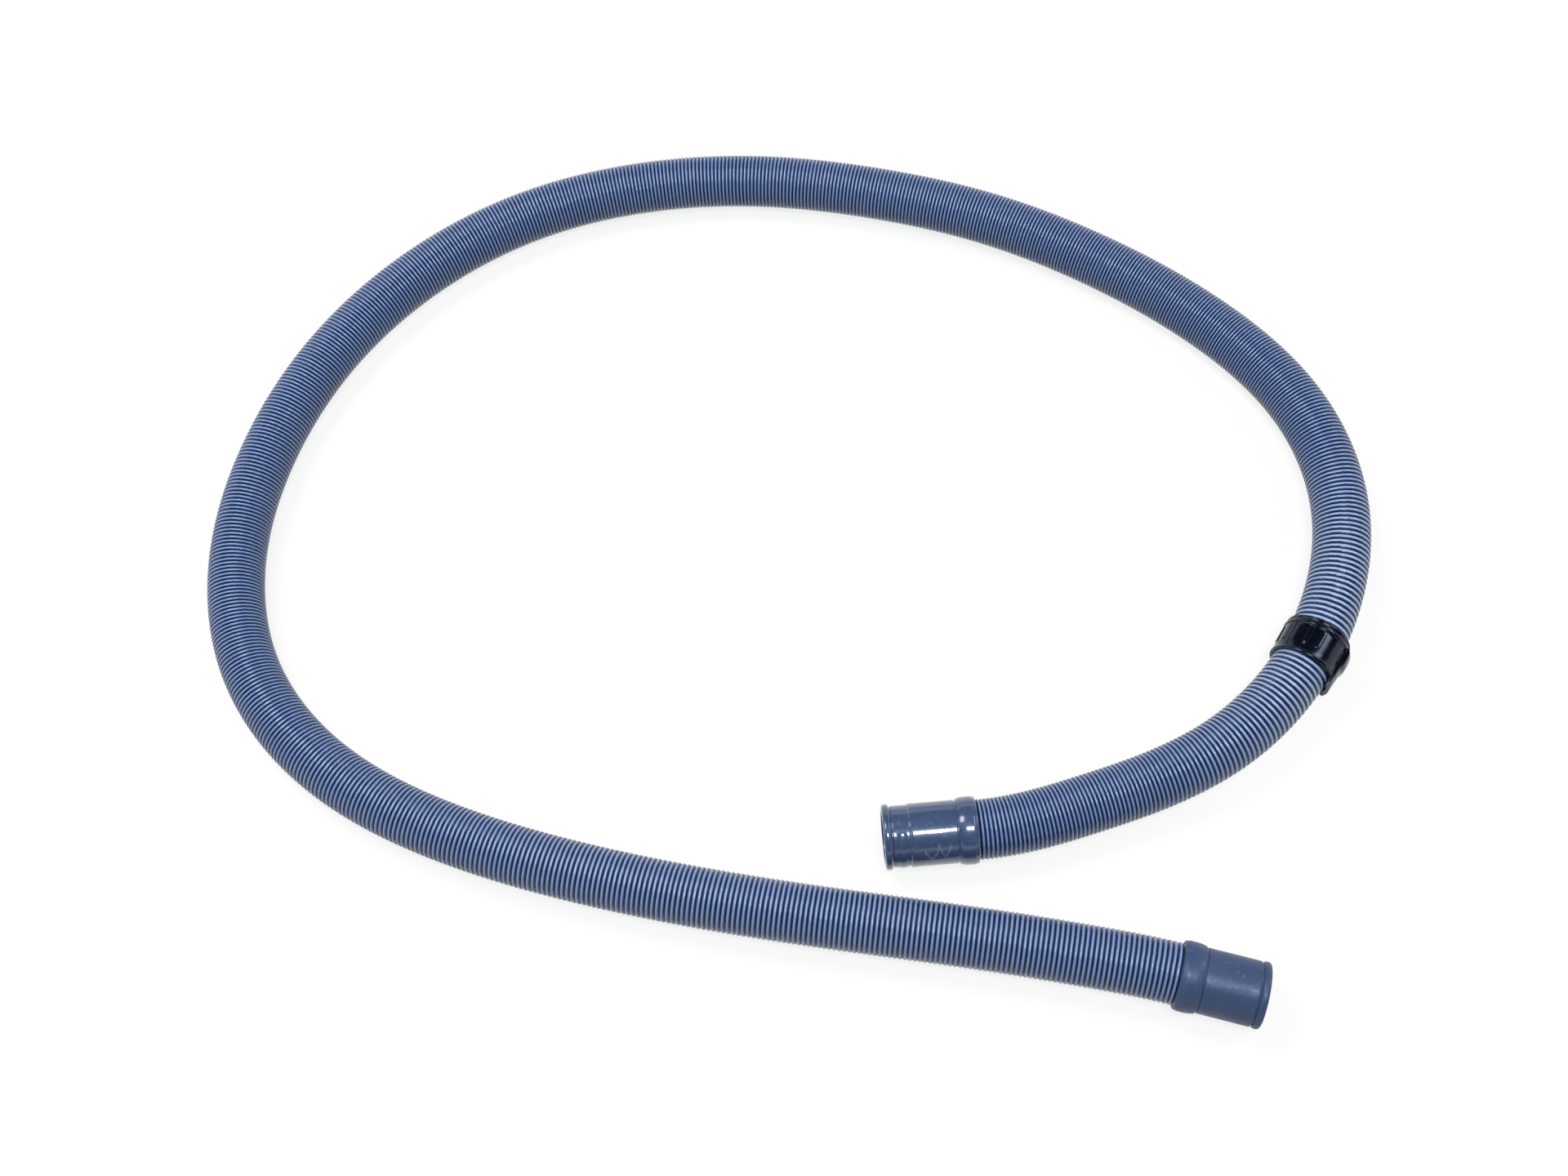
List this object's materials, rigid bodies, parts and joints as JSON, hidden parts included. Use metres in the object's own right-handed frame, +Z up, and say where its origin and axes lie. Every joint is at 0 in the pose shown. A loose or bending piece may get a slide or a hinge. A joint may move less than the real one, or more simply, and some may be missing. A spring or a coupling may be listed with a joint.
{
  "type": "dishwasher drain hose",
  "caption": "Corrugated plastic drain hose laid in an open loop, with a push-on rubber cuff on each end and a black clip band round it.",
  "frame": {"origin": "on the floor under the middle of the loop's bounding box", "axes": "+X to the right along the loop's longest side, +Y away from the two ends, +Z up"},
  "size_m": [0.5175, 0.4512, 0.0294],
  "materials": {
    "hose_plastic": "blue grey blown polypropylene, satin gloss, with dark grooves between the corrugations",
    "cuff_rubber": "dark blue grey moulded rubber, satin",
    "clip_plastic": "black moulded plastic, glossy"
  },
  "bodies": {
    "root": {"drain_hose": "hose_plastic", "cuff_with_band": "cuff_rubber", "cuff_plain": "cuff_rubber", "hose_clip": "clip_plastic"}
  },
  "joints": []
}
